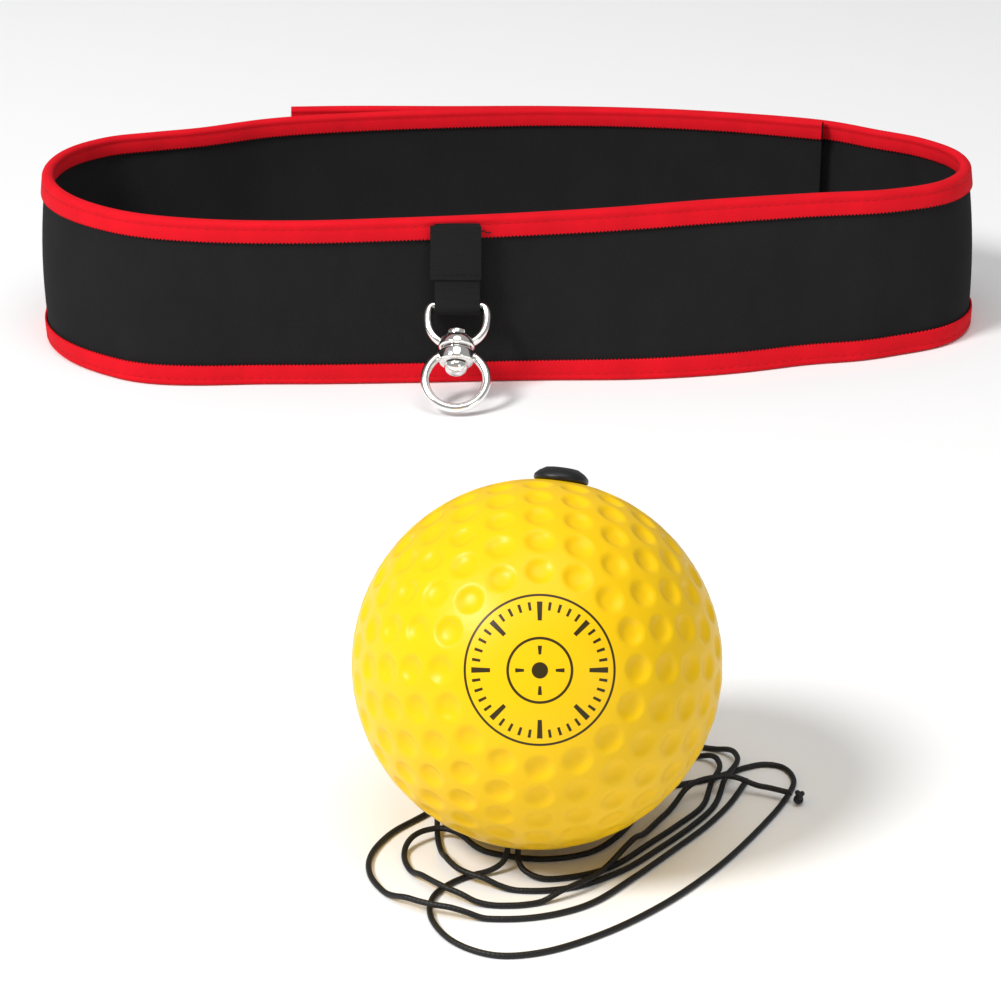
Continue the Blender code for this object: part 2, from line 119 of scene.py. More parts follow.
# Swivel outlines (across or radius, distance from the bar), mm
D_RING = [(-1.9, 10.2), (-4.3, 9.2), (-6.4, 6.7), (-7.1, 3.9), (-7.05, 1.6), (-6.6, 0.4), (-6.0, 0.0),
          (-3.0, 0.0)]
EYE_MIDDLE = 19.5
EYE_RADIUS = 7.4
EYE_SHOULDER = [(-2.4, 14.0), (-4.3, 13.6)]
UPPER_COLLAR = [(1.65, 11.6), (3.3, 11.6), (4.0, 11.45), (4.4, 11.05), (4.35, 10.1), (4.15, 9.3),
                (3.7, 8.6), (3.0, 8.4), (1.65, 8.4)]
LOWER_COLLAR = [(1.65, 15.4), (3.1, 15.4), (3.9, 15.2), (4.25, 14.7), (4.3, 12.9), (4.15, 12.3),
                (3.6, 12.1), (1.65, 12.1)]
WASHER = [(1.65, 11.95), (3.5, 11.95), (3.5, 11.75), (1.65, 11.75)]
RIVET = [(0, 18.25), (0.9, 18.15), (1.7, 17.85), (2.35, 17.3), (2.75, 16.5), (2.85, 15.75), (1.5, 15.7),
         (1.5, 8.1), (2.35, 8.1), (2.4, 6.9), (2.1, 6.55), (1.5, 6.35), (0, 6.3)]

# Ball
BALL_AXIS = Vector((0.13, 0.45, 0.883)).normalized()
PRINT_AXIS = Vector((0.002, -0.902, 0.425)).normalized()
PLUG = [(0.0, 1.75), (1.5, 1.75), (1.9, 2.15), (2.9, 2.0), (4.1, 1.3), (4.75, 0.65), (4.9, 0.2), (4.8, -0.3),
        (3.4, -0.6), (3.4, -9.0), (0.0, -9.0)]
# The printed mark, in degrees from its middle: rings and a dot as (inner edge, outer edge), and ticks as
# (turn from one to the next, half width, inner end, outer end)
PRINT_RINGS = [(22.05, 22.8), (9.0, 9.8), (-1.0, 2.4)]
PRINT_TICKS = [(9.0, 1.3, 17.8, 20.4), (45.0, 2.4, 14.6, 20.4), (90.0, 5.0, 4.6, 7.2)]
PRINT_EDGE = 0.07              # softness of the ink's edge
TICK_EDGE = 0.2                # the same, round the mark
INK_COVER = 0.97
# Rings of dimples about the print: (angle from its middle, number)
DIMPLE_RINGS = [(30.5, 16), (41.5, 20), (52.3, 24), (63.0, 28), (74.0, 30), (85.0, 32), (96.0, 32),
                (107.0, 30), (118.0, 28), (128.5, 24), (139.5, 20), (150.5, 16), (161.0, 10), (172.0, 4)]
PLUG_CLEARING = 13.0           # no dimple's middle is nearer the plug than this, degrees
EXIT_CLEARING = 8.0            # the same, for the cord's exit

# Cord, as part of the ball
LYING = 0.53                   # height of the cord's middle where it lies on the floor, mm
CORD_RADIUS = LYING * MM
CORD_CLEARANCE = 0.45 * MM     # between two strands that cross
EXIT_SPREAD = 0.95 * MM        # from the bore's middle to each strand
HUMP_LENGTH = 9.5 * MM         # how far a strand takes to rise over another
OWN_REACH = 14.0 * MM          # a tail is only lifted over its own strands that are farther on than this
LEFT_LENGTH = 0.329
RIGHT_LENGTH = 0.433
END_KNOT_RADIUS = 1.35 * MM

# Stage: (lamp, place, aim, width in m, power in W), and the camera
LAMPS = [("key", (-1.0, -0.7, 1.25), (0.0, -0.05, 0.02), 0.5, 23.5),
         ("front", (0.9, -1.3, 0.35), (0.0, 0.0, 0.02), 0.6, 1.5),
         ("overhead", (0.1, -0.4, 1.6), (0.0, 0.0, 0.02), 1.2, 9.0)]
SKY_STRENGTH = 0.32
CAMERA_PLACE = (-2.71 * MM, -606.1 * MM, 272 * MM)
CAMERA_TILT = 66.0             # from straight down, degrees
CAMERA_LENS = 107.5

# Routes of the tails on the floor, mm; a point without a height lies on the floor
LEFT_TAIL = [(-0.8, -160.6, 1.9), (-3.0, -161.9, 1.0), (-6.6, -163), (-10.2, -165.8), (-12.8, -170),
             (-13, -176.5), (-9.2, -184), (-2.5, -188.2), (5, -187.6), (15.5, -182), (26.5, -172.5),
             (36.5, -160.5), (44.5, -148), (50.8, -136), (52.9, -129), (51.3, -124.3), (47.4, -123.2),
             (36, -129.3), (26, -131.8), (14, -129), (2, -128.5), (-8, -134.5), (-15.8, -142.8),
             (-21, -148.8), (-24.2, -157), (-23.3, -164.5), (-17.5, -172.3), (-7, -176.4), (4, -176.6),
             (13.5, -172.6), (22, -163.5), (29, -154.7), (35.6, -146), (40.4, -138), (44.2, -129.2)]
RIGHT_TAIL = [(2.0, -160.8, 2.0), (3.2, -162.6, 1.2), (6.4, -164, 0.58), (13.4, -162.6), (18.8, -159.4),
              (25.4, -151.8), (31, -145), (35.2, -139.2), (37.4, -132.6), (39.4, -126), (37.5, -121.2),
              (30, -120.2), (14, -120), (-3, -121.5), (-12.8, -131), (-12.6, -142), (-12, -153),
              (-8.6, -163), (1, -167.6), (10.5, -167), (19.6, -161.6), (27.2, -153.3), (33.3, -145.6),
              (37.4, -139), (39.8, -131.4), (42.9, -123.6), (40.8, -118.5), (35, -116.4), (29.2, -119),
              (27, -127), (24.5, -138), (20.5, -148), (14.6, -155), (6, -157.3), (-3.6, -154.8),
              (-12, -149.4), (-17.8, -153.5), (-16.6, -162), (-8, -171), (3, -172.4), (14.5, -166),
              (21.4, -154.6), (26.6, -145), (32.4, -136.4), (39, -132.8), (46, -133.9), (51.8, -136.6)]


def length_prop(name, description, default):
    return bpy.props.FloatProperty(name=name, description=description, default=default, min=0.0,
                                   precision=5, unit="LENGTH")


def colour_prop(name, description, default):
    return bpy.props.FloatVectorProperty(name=name, description=description, default=default,
                                         subtype="COLOR", size=3, min=0.0, max=1.0)


class HeadbandSizes(bpy.types.PropertyGroup):
    strap_height: length_prop("Strap height", "Height of the strap with its bindings", 42.5 * MM)
    strap_thickness: length_prop("Strap thickness", "Thickness of the elastic", 1.4 * MM)
    binding_leg: length_prop("Binding leg", "How far the binding reaches from the strap's edge", 5.3 * MM)
    binding_thickness: length_prop("Binding thickness", "Thickness of the binding tape", 0.5 * MM)
    tooth_height: length_prop("Tooth height", "Height of the binding's woven teeth", 0.22 * MM)
    stitch_pitch: length_prop("Stitch pitch", "Distance between two stitches of the binding", 2.3 * MM)
    patch_thickness: length_prop("Patch thickness", "Thickness of the hook and loop patches", 0.6 * MM)
    tab_width: length_prop("Tab width", "Width of the webbing that holds the swivel", 11.0 * MM)
    tab_thickness: length_prop("Tab thickness", "Thickness of that webbing", 0.8 * MM)
    tab_top: length_prop("Tab top", "Height of the webbing's upper end", 41.2 * MM)
    wire_radius: length_prop("Wire radius", "Radius of the swivel's wire", 1.1 * MM)
    ball_radius: length_prop("Ball radius", "Radius of the foam ball", 32.5 * MM)
    dimple_width: length_prop("Dimple width", "Width of one dimple of the ball", 4.9 * MM)
    dimple_depth: length_prop("Dimple depth", "Depth of one dimple of the ball", 0.74 * MM)


class HeadbandColours(bpy.types.PropertyGroup):
    elastic: colour_prop("Elastic", "Colour of the strap and its webbing", (0.0125, 0.0125, 0.0130))
    binding: colour_prop("Binding", "Colour of the binding tape", (0.70, 0.004, 0.013))
    nickel: colour_prop("Nickel", "Colour of the swivel's plating", (0.95, 0.94, 0.92))
    foam: colour_prop("Foam", "Colour of the ball's skin", (0.91, 0.56, 0.003))
    ink: colour_prop("Ink", "Colour of the ball's printed mark", (0.012, 0.010, 0.006))
    cord: colour_prop("Cord", "Colour of the cord and the plug", (0.007, 0.007, 0.0075))
    floor: colour_prop("Floor", "Colour of the floor", (0.93, 0.93, 0.93))


# Lines

def smooth_line(points, samples):
    """Points along the centripetal curve through the given ones."""
    ends = [points[0] * 2 - points[1], *points, points[-1] * 2 - points[-2]]
    line = []
    for a, b, c, d in zip(ends, ends[1:], ends[2:], ends[3:]):
        at = [0.0]
        for p, q in ((a, b), (b, c), (c, d)):
            at.append(at[-1] + math.sqrt((q - p).length))
        for i in range(samples):
            t = at[1] + (at[2] - at[1]) * i / samples
            ab = a.lerp(b, (t - at[0]) / (at[1] - at[0]))
            bc = b.lerp(c, (t - at[1]) / (at[2] - at[1]))
            cd = c.lerp(d, (t - at[2]) / (at[3] - at[2]))
            abc = ab.lerp(bc, (t - at[0]) / (at[2] - at[0]))
            bcd = bc.lerp(cd, (t - at[1]) / (at[3] - at[1]))
            line.append(abc.lerp(bcd, (t - at[1]) / (at[2] - at[1])))
    line.append(points[-1].copy())
    return line


def distances(line):
    """How far along a line each of its points is."""
    walked = [0.0]
    for a, b in zip(line, line[1:]):
        walked.append(walked[-1] + (b - a).length)
    return walked


def even_line(line, step):
    """The same line with its points evenly spaced, about one step apart."""
    walked = distances(line)
    count = max(2, round(walked[-1] / step))
    points = []
    j = 0
    for i in range(count + 1):
        at = walked[-1] * i / count
        while j < len(line) - 2 and walked[j + 1] < at:
            j += 1
        points.append(line[j].lerp(line[j + 1], (at - walked[j]) / (walked[j + 1] - walked[j])))
    return points


def ease(value):
    value = min(1.0, max(0.0, value))
    return value * value * (3 - 2 * value)


def strap_line():
    """Middle line of the whole strap, ending in the tongue that laps over the inner end."""
    base = [Vector((x, y, 0)) * MM for x, y in STRAP_PLAN]
    lap = []
    for i in range(OVERLAP_POINTS):
        along = base[i + 1] - base[max(i - 1, 0)]
        outward = Vector((along.y, -along.x, 0)).normalized()
        loose = max(0.0, (i - 2.5) / (OVERLAP_POINTS - 3.5))
        lap.append(base[i] + outward * (LAYER_STEP + TONGUE_FLARE * loose ** 1.6))
    lap[-1] = lap[-2].lerp(lap[-1], LAST_SHARE)
    for i, point in enumerate(base[:9]):
        point.z = INNER_END_RISE * min(1.0, (8 - i) / 4)
    line = smooth_line(base + lap, STRETCH_SAMPLES)
    return [point - LAYOUT_MIDDLE for point in line]


def ramp(value, start, length):
    return ease((value - start) / length)


def swell(value, most, middle, spread):
    return most * math.exp(-((value - middle) / spread) ** 2)


def settled(point, height):
    """A point of the standing strap after it leans: its lower edge set out, and its ends bulging."""
    x = (point.x + LAYOUT_MIDDLE.x) / MM
    y = (point.y + LAYOUT_MIDDLE.y) / MM
    low = 1.0 - point.z / height
    bulge = math.sin(math.pi * min(1.0, max(0.0, low)))
    corners_out = RIGHT_CORNER[0] * ramp(x, *RIGHT_CORNER[1:]) + LEFT_CORNER[0] * ramp(x, *LEFT_CORNER[1:])
    front = (swell(x, *FRONT_IN) - swell(x, *FRONT_OUT)) * ramp(y, *FRONT_START)
    right, left = (lean * low + more * bulge for lean, more in zip(END_LEAN, END_BULGE))
    lean_x = right * ramp(x, *RIGHT_END) - left * ramp(x, *LEFT_END)
    lean_y = (front - corners_out * ramp(y, *CORNER_START)) * low
    return point + Vector((lean_x, lean_y, 0)) * MM


def strap_sections():
    """(point, along, outward) evenly spaced on the strap, and the sections where the bend starts and ends."""
    raw = strap_line()
    split = distances(raw)[SPLIT_STRETCH * STRETCH_SAMPLES]
    line = even_line(raw, COLUMN)
    sections = []
    for i, point in enumerate(line):
        along = line[min(i + 1, len(line) - 1)] - line[max(i - 1, 0)]
        along = Vector((along.x, along.y, 0)).normalized()
        sections.append((point, along, Vector((along.y, -along.x, 0))))
    step = distances(line)[-1] / (len(line) - 1)
    return sections, round((split - BEND_HALF) / step), round((split + BEND_HALF) / step), step


def section_at(stretch):
    raw = strap_line()
    at = stretch * STRETCH_SAMPLES
    i = int(at)
    place = raw[i].lerp(raw[i + 1], at - i)
    along = (raw[i + 1] - raw[i]).normalized()
    along.rotate(Matrix.Rotation(TAB_TURN, 3, "Z"))
    return place, along, Vector((along.y, -along.x, 0)).normalized()


# Pieces

def lofted(columns, rows, place, span=(1.0, 1.0), wraps=True):
    """A grid with each vertex moved to place(column, row) and its UVs in millimetres; closed at its ends."""
    work = bmesh.new()
    uv = work.loops.layers.uv.new("UVMap")
    bmesh.ops.create_grid(work, x_segments=columns, y_segments=rows, size=0.5, calc_uvs=True)
    for face in work.faces:
        for loop in face.loops:
            loop[uv].uv = (loop[uv].uv.x * span[0] / MM, loop[uv].uv.y * span[1] / MM)
    for vert in work.verts:
        vert.co = place(round((vert.co.x + 0.5) * columns), round((vert.co.y + 0.5) * rows))
    if wraps:
        bmesh.ops.remove_doubles(work, verts=work.verts, dist=1e-8)
        bmesh.ops.holes_fill(work, edges=[e for e in work.edges if e.is_boundary], sides=0)
    bmesh.ops.recalc_face_normals(work, faces=work.faces)
    return work


def add_piece(name, work, material, body, stands_for=(), sharp=50.0):
    """Put a finished bmesh in the scene as a piece that rides on one body."""
    mesh = bpy.data.meshes.new(name)
    work.to_mesh(mesh)
    work.free()
    mesh.materials.append(material)
    mesh.shade_smooth()
    mesh.set_sharp_from_angle(angle=math.radians(sharp))
    piece = bpy.data.objects.new(name, mesh)
    bpy.context.scene.collection.objects.link(piece)
    if body:
        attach(piece, body)
    if stands_for:
        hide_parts(*stands_for)
    return piece


def bar_directions(line):
    """Two directions across a line at each point, without twist."""
    side = (line[1] - line[0]).orthogonal().normalized()
    found = []
    for i in range(len(line)):
        ahead = (line[min(i + 1, len(line) - 1)] - line[max(i - 1, 0)]).normalized()
        side = (side - ahead * side.dot(ahead)).normalized()
        found.append((side.copy(), ahead.cross(side)))
    return found


def tube(line, radius, sides):
    """A round bar along a line."""
    across = bar_directions(line)

    def place(i, k):
        angle = 2 * math.pi * (k % sides) / sides
        side, up = across[i]
        return line[i] + (side * math.cos(angle) + up * math.sin(angle)) * radius

    return lofted(len(line) - 1, sides, place, (distances(line)[-1], 2 * math.pi * radius))


def turned(outline, steps, rounding=0.12 * MM):
    """A body spun about Z from an outline of (radius, height) in mm, with its edges rounded."""
    work = bmesh.new()
    ring = [work.verts.new((r * MM, 0, z * MM)) for r, z in outline]
    for a, b in zip(ring, ring[1:]):
        work.edges.new((a, b))
    if outline[0][0] > 0:
        work.edges.new((ring[-1], ring[0]))
    bmesh.ops.spin(work, geom=work.verts[:] + work.edges[:], cent=(0, 0, 0), axis=(0, 0, 1),
                   angle=2 * math.pi, steps=steps, use_merge=True, use_duplicate=False)
    bmesh.ops.remove_doubles(work, verts=work.verts, dist=1e-6)
    bmesh.ops.recalc_face_normals(work, faces=work.faces)
    if rounding:
        sharp = [e for e in work.edges if len(e.link_faces) == 2 and e.calc_face_angle() > math.radians(28)]
        bmesh.ops.bevel(work, geom=sharp, offset=rounding, offset_type="OFFSET", segments=2, profile=0.5,
                        affect="EDGES", material=-1, clamp_overlap=True)
    return work


# Shader groups and materials

def node_group(name, inputs, outputs):
    """An empty shader group with named sockets."""
    group = bpy.data.node_groups.new(name, "ShaderNodeTree")
    for label, kind, value in inputs:
        socket = group.interface.new_socket(label, in_out="INPUT", socket_type=kind)
        if value is not None:
            socket.default_value = value
    for label, kind in outputs:
        group.interface.new_socket(label, in_out="OUTPUT", socket_type=kind)
    return group, group.nodes.new("NodeGroupInput"), group.nodes.new("NodeGroupOutput")


def maths(tree, operation, first, second=None, third=None):
    """A maths node fed with sockets or numbers; gives its output socket."""
    node = tree.nodes.new("ShaderNodeMath")
    node.operation = operation
    for slot, value in enumerate((first, second, third)):
        if value is None:
            continue
        if isinstance(value, (int, float)):
            node.inputs[slot].default_value = value
        else:
            tree.links.new(value, node.inputs[slot])
    return node.outputs[0]


def noise(group, place, detail, scale=None):
    """A noise texture read at a place."""
    node = group.nodes.new("ShaderNodeTexNoise")
    node.inputs["Detail"].default_value = detail
    if scale is not None:
        node.inputs["Scale"].default_value = scale
    group.links.new(place, node.inputs["Vector"])
    return node


def weave_group():
    """Crossing threads on a surface map in millimetres: the height of the cloth, and a painted shade that is
    darkest in the low places between the threads.
    """
    group, given, out = node_group(
        "Weave",
        [("Map", "NodeSocketVector", None), ("Threads along", "NodeSocketFloat", 1.0),
         ("Threads across", "NodeSocketFloat", 1.0), ("Unevenness", "NodeSocketFloat", 0.3)],
        [("Height", "NodeSocketFloat"), ("Gaps", "NodeSocketFloat")])
    split = group.nodes.new("ShaderNodeSeparateXYZ")
    group.links.new(given.outputs["Map"], split.inputs[0])
    drift = noise(group, given.outputs["Map"], 2.0, 0.35)
    shift = maths(group, "MULTIPLY", drift.outputs["Fac"], given.outputs["Unevenness"])
    waves = []
    for axis, count in (("X", "Threads along"), ("Y", "Threads across")):
        turns = maths(group, "MULTIPLY", split.outputs[axis], given.outputs[count])
        turns = maths(group, "ADD", turns, shift)
        waves.append(maths(group, "SINE", maths(group, "MULTIPLY", turns, 2 * math.pi)))
    crossing = maths(group, "MULTIPLY", waves[0], waves[1])
    height = maths(group, "MULTIPLY_ADD", crossing, 0.5, 0.5)
    group.links.new(height, out.inputs["Height"])
    # painted shade: one less the height, squared, so the low places between the threads come out darkest
    group.links.new(maths(group, "POWER", maths(group, "SUBTRACT", 1.0, height), 2.0), out.inputs["Gaps"])
    return group


def mottle_group():
    """Soft uneven patches between two values, with a finer grain on top."""
    group, given, out = node_group(
        "Mottle",
        [("Place", "NodeSocketVector", None), ("Scale", "NodeSocketFloat", 40.0),
         ("Low", "NodeSocketFloat", 0.9), ("High", "NodeSocketFloat", 1.1)],
        [("Value", "NodeSocketFloat"), ("Grain", "NodeSocketFloat")])
    broad = noise(group, given.outputs["Place"], 3.0)
    group.links.new(given.outputs["Scale"], broad.inputs["Scale"])
    fine = noise(group, given.outputs["Place"], 4.0)
    group.links.new(maths(group, "MULTIPLY", given.outputs["Scale"], 14.0), fine.inputs["Scale"])
    mapped = group.nodes.new("ShaderNodeMapRange")
    mapped.inputs["From Min"].default_value = 0.3
    mapped.inputs["From Max"].default_value = 0.7
    group.links.new(broad.outputs["Fac"], mapped.inputs["Value"])
    group.links.new(given.outputs["Low"], mapped.inputs["To Min"])
    group.links.new(given.outputs["High"], mapped.inputs["To Max"])
    group.links.new(mapped.outputs["Result"], out.inputs["Value"])
    group.links.new(fine.outputs["Fac"], out.inputs["Grain"])
    return group


GROUP_MAKERS = {"Weave": weave_group, "Mottle": mottle_group}


def placed_group(tree, name, **values):
    """One use of a shared group, with its inputs set or linked."""
    node = tree.nodes.new("ShaderNodeGroup")
    node.node_tree = bpy.data.node_groups.get(name) or GROUP_MAKERS[name]()
    for label, value in values.items():
        socket = node.inputs[label.replace("_", " ")]
        if isinstance(value, (int, float)):
            socket.default_value = value
        else:
            tree.links.new(value, socket)
    return node


def started(name, colour, roughness, **settings):
    """A new material and its shader, with the plain values set."""
    material = bpy.data.materials.new(name)
    material.use_nodes = True
    shader = material.node_tree.nodes["Principled BSDF"]
    shader.inputs["Base Color"].default_value = (*colour, 1.0)
    shader.inputs["Roughness"].default_value = roughness
    for label, value in settings.items():
        shader.inputs[label.replace("_", " ")].default_value = value
    return material, material.node_tree, shader


def surface_map(tree, kind):
    return tree.nodes.new("ShaderNodeTexCoord").outputs[kind]


def tinted(tree, shader, colour, factor):
    """Feed the base colour with the plain colour times a factor."""
    mix = tree.nodes.new("ShaderNodeMix")
    mix.data_type = "RGBA"
    mix.blend_type = "MULTIPLY"
    mix.inputs["Factor"].default_value = 1.0
    mix.inputs["A"].default_value = (*colour, 1.0)
    grey = tree.nodes.new("ShaderNodeCombineColor")
    for channel in ("Red", "Green", "Blue"):
        tree.links.new(factor, grey.inputs[channel])
    tree.links.new(grey.outputs["Color"], mix.inputs["B"])
    tree.links.new(mix.outputs["Result"], shader.inputs["Base Color"])
    return mix


def bumped(tree, shader, height, distance, strength=1.0):
    bump = tree.nodes.new("ShaderNodeBump")
    bump.inputs["Distance"].default_value = distance
    bump.inputs["Strength"].default_value = strength
    tree.links.new(height, bump.inputs["Height"])
    tree.links.new(bump.outputs["Normal"], shader.inputs["Normal"])


# Cloths: (colour, its share, threads per mm along, across, depth in mm, roughness, painted shade between
# threads, sheen, specular)
CLOTHS = {
    "elastic": ("elastic", 1.0, 1.35, 0.95, 0.05, 0.92, 0.2, 0.0, 0.15),
    "binding": ("binding", 1.0, 1.6, 1.9, 0.022, 0.8, 0.12, 0.0, 0.15),
    "binding_thread": ("binding", 0.72, 2.0, 2.0, 0.03, 0.7, 0.2, 0.0, 0.25),
    "webbing": ("elastic", 0.95, 1.25, 1.1, 0.035, 0.9, 0.1, 0.0, 0.15),
    "black_thread": ("elastic", 1.0, 2.0, 2.0, 0.03, 0.9, 0.2, 0.0, 0.1),
    "loop_pile": ("elastic", 1.3, 1.4, 1.7, 0.25, 1.0, 0.2, 0.3, 0.25),
    "hook_tape": ("elastic", 1.8, 0.75, 0.62, 0.35, 0.55, 0.2, 0.0, 0.5),
    "cord_cover": ("cord", 1.0, 1.3, 1.22, 0.05, 0.5, 0.2, 0.0, 0.35),
}


def cloth_material(name, colours):
    """Woven cloth: threads on the surface map, painted shade in the low places between the threads, patches a
    little uneven.
    """
    source, share, along, across, depth, roughness, gap_shade, sheen, specular = CLOTHS[name]
    colour = tuple(c * share for c in getattr(colours, source))
    material, tree, shader = started(name + "_finish", colour, roughness, Specular_IOR_Level=specular,
                                     Sheen_Weight=sheen, Sheen_Roughness=0.5)
    surface = surface_map(tree, "UV")
    weave = placed_group(tree, "Weave", Map=surface, Threads_along=along, Threads_across=across,
                         Unevenness=0.25)
    mottle = placed_group(tree, "Mottle", Place=surface, Scale=0.12, Low=0.92, High=1.08)
    # painted shade: the colour is darkened where the weave is low, between the threads
    threads = maths(tree, "MULTIPLY_ADD", weave.outputs["Gaps"], -gap_shade, 1.0 + 0.2 * gap_shade)
    tinted(tree, shader, colour, maths(tree, "MULTIPLY", threads, mottle.outputs["Value"]))
    bumped(tree, shader, weave.outputs["Height"], depth * MM)
    return material


def nickel_material(colour):
    """Bright nickel plate with fine wear."""
    material, tree, shader = started("nickel_plate_finish", colour, 0.12, Metallic=1.0)
    place = surface_map(tree, "Object")
    mottle = placed_group(tree, "Mottle", Place=place, Scale=260.0, Low=0.07, High=0.2)
    tree.links.new(mottle.outputs["Value"], shader.inputs["Roughness"])
    bumped(tree, shader, mottle.outputs["Grain"], 0.012 * MM, 0.6)
    return material


def rubber_material(name, colour, roughness):
    """Smooth moulded rubber."""
    material, tree, shader = started(name, colour, roughness, Specular_IOR_Level=0.4)
    mottle = placed_group(tree, "Mottle", Place=surface_map(tree, "Object"), Scale=300.0,
                          Low=roughness * 0.85, High=roughness * 1.15)
    tree.links.new(mottle.outputs["Value"], shader.inputs["Roughness"])
    bumped(tree, shader, mottle.outputs["Grain"], 0.02 * MM)
    return material


def print_frame():
    """Turns the ball's print frame (right, up, outward) into the model's, at the ball's middle."""
    outward = PRINT_AXIS
    right = Vector((1, 0, 0))
    right = (right - outward * right.dot(outward)).normalized()
    up = outward.cross(right)
    turn = Matrix((right, up, outward)).transposed().to_4x4()
    return Matrix.Translation(ball_middle()) @ turn


def band_mask(tree, value, low, high, soft):
    """A mask that is 1 where a value lies between two limits, with soft edges."""
    rise = tree.nodes.new("ShaderNodeMapRange")
    fall = tree.nodes.new("ShaderNodeMapRange")
    for node, middle, start, end in ((rise, low, 0.0, 1.0), (fall, high, 1.0, 0.0)):
        node.inputs["From Min"].default_value = middle - soft
        node.inputs["From Max"].default_value = middle + soft
        node.inputs["To Min"].default_value = start
        node.inputs["To Max"].default_value = end
        tree.links.new(value, node.inputs["Value"])
    return maths(tree, "MULTIPLY", rise.outputs["Result"], fall.outputs["Result"])


def foam_material(colour, ink):
    """Skinned foam with a printed target: a ring, a scale of ticks, an inner ring and a dot."""
    material, tree, shader = started("ball_foam_finish", colour, 0.36, Specular_IOR_Level=0.22)
    place = surface_map(tree, "Object")
    mottle = placed_group(tree, "Mottle", Place=place, Scale=55.0, Low=0.965, High=1.02)
    skin = tinted(tree, shader, colour, mottle.outputs["Value"])
    to_print = tree.nodes.new("ShaderNodeMapping")
    to_print.vector_type = "TEXTURE"
    matrix = print_frame()
    to_print.inputs["Location"].default_value = matrix.translation
    to_print.inputs["Rotation"].default_value = matrix.to_euler()
    tree.links.new(place, to_print.inputs["Vector"])
    split = tree.nodes.new("ShaderNodeSeparateXYZ")
    tree.links.new(to_print.outputs["Vector"], split.inputs[0])
    x, y, z = (split.outputs[axis] for axis in "XYZ")
    around = maths(tree, "MULTIPLY", maths(tree, "ARCTAN2", x, y), 180 / math.pi)
    squares = [maths(tree, "MULTIPLY", side, side) for side in (x, y)]
    flat = maths(tree, "SQRT", maths(tree, "ADD", *squares))
    tilt = maths(tree, "MULTIPLY", maths(tree, "ARCTAN2", flat, z), 180 / math.pi)
    masks = [band_mask(tree, tilt, low, high, PRINT_EDGE) for low, high in PRINT_RINGS]
    for step, half, low, high in PRINT_TICKS:
        whole = maths(tree, "ABSOLUTE", maths(tree, "WRAP", around, step / 2, -step / 2))
        tick = band_mask(tree, whole, -1.0, half, TICK_EDGE)
        masks.append(maths(tree, "MULTIPLY", tick, band_mask(tree, tilt, low, high, PRINT_EDGE)))
    marks = masks[0]
    for mask in masks[1:]:
        marks = maths(tree, "MAXIMUM", marks, mask)
    inked = tree.nodes.new("ShaderNodeMix")
    inked.data_type = "RGBA"
    tree.links.new(maths(tree, "MULTIPLY", marks, INK_COVER), inked.inputs["Factor"])
    tree.links.new(skin.outputs["Result"], inked.inputs["A"])
    inked.inputs["B"].default_value = (*ink, 1.0)
    tree.links.new(inked.outputs["Result"], shader.inputs["Base Color"])
    bumped(tree, shader, mottle.outputs["Grain"], 0.05 * MM, 0.5)
    return material


def finish(name):
    """The finish of that name, made when it is first asked for."""
    made = bpy.data.materials.get(name + "_finish")
    if made:
        return made
    colours = bpy.context.scene.headband_colours
    if name in CLOTHS:
        return cloth_material(name, colours)
    if name == "nickel_plate":
        return nickel_material(tuple(colours.nickel))
    if name == "ball_foam":
        return foam_material(tuple(colours.foam), tuple(colours.ink))
    if name == "plug_rubber":
        return rubber_material("plug_rubber_finish", tuple(colours.cord), 0.42)
    raise ValueError("no finish is named " + name)


# Strap

def lip_bar(half, low, high, rows):
    """Closed outline of an upright flat bar with rounded edges: (outward, height), outer face first."""
    corner = min(half * 0.9, (high - low) / 4)
    arc = [(half - corner * (1 - math.cos(a)), corner * (1 - math.sin(a)))
           for a in (math.pi / 6, math.pi / 3)]
    shoulder = [(out, high - up) for out, up in arc] + [(half - corner, high)]
    foot = [(out, low + up) for out, up in arc] + [(half - corner, low)]
    rise = [(high - low - 2 * corner) * i / rows for i in range(rows + 1)]
    outer = [(half, low + corner + up) for up in rise] + shoulder
    inner = [(-out, up) for out, up in reversed(shoulder)] + [(-half, high - corner - up) for up in rise]
    return outer + inner + [(-out, up) for out, up in foot] + foot[::-1]


def tape_outline(sizes):
    """Closed outline of a folded tape round the strap's lower edge: (outward, height, tooth share)."""
    inside = sizes.strap_thickness / 2 + LOOSE
    outside = inside + sizes.binding_thickness
    leg = sizes.binding_leg
    fold = 1.15 * MM
    seam = leg * SEAM_SHARE
    dent = 0.13 * MM
    groove = 0.35 * MM
    outer = []
    for i in range(10):
        angle = math.pi / 2 * i / 9
        outer.append((outside * math.sin(angle), fold * (1 - math.cos(angle)), 0.0))
    outer += [(outside, seam - groove, 0.0), (outside - dent, seam, 0.0), (outside, seam + groove, 0.0),
              (outside, leg * 0.7, 0.0), (outside, leg - groove, 0.3),
              (outside - 0.08 * MM, leg - 0.05 * MM, 0.9), (outside - 0.2 * MM, leg, 1.0),
              (inside + 0.08 * MM, leg - 0.02 * MM, 0.9), (inside, leg - 0.3 * MM, 0.3)]
    floor = sizes.binding_thickness
    under = [(inside, floor + 0.6 * MM, 0.0), (inside - 0.25 * MM, floor + 0.15 * MM, 0.0), (0.0, floor, 0.0)]
    right = outer + under
    left = [(-out, up * INNER_LEG_SHARE, tooth) for out, up, tooth in reversed(right[1:-1])]
    return right + left


def swept_strap(sections, start, end, outline, height, edge=None, tooth=0.0):
    """A bar with an outline of (outward, height, tooth share), from one section of the strap to another."""
    rows = len(outline)

    def place(i, k):
        point, _, outward = sections[start + i]
        out, up, share = outline[k % rows]
        up += share * tooth * (1 if (start + i) % 2 else -1)
        if edge is not None:
            up = edge - up
        return settled(point + outward * out + Vector((0, 0, up)), height)

    around = sum(math.dist(a[:2], b[:2]) for a, b in zip(outline, outline[1:] + outline[:1]))
    walked = distances([section[0] for section in sections[start:end + 1]])
    return lofted(end - start, rows, place, (walked[-1], around))


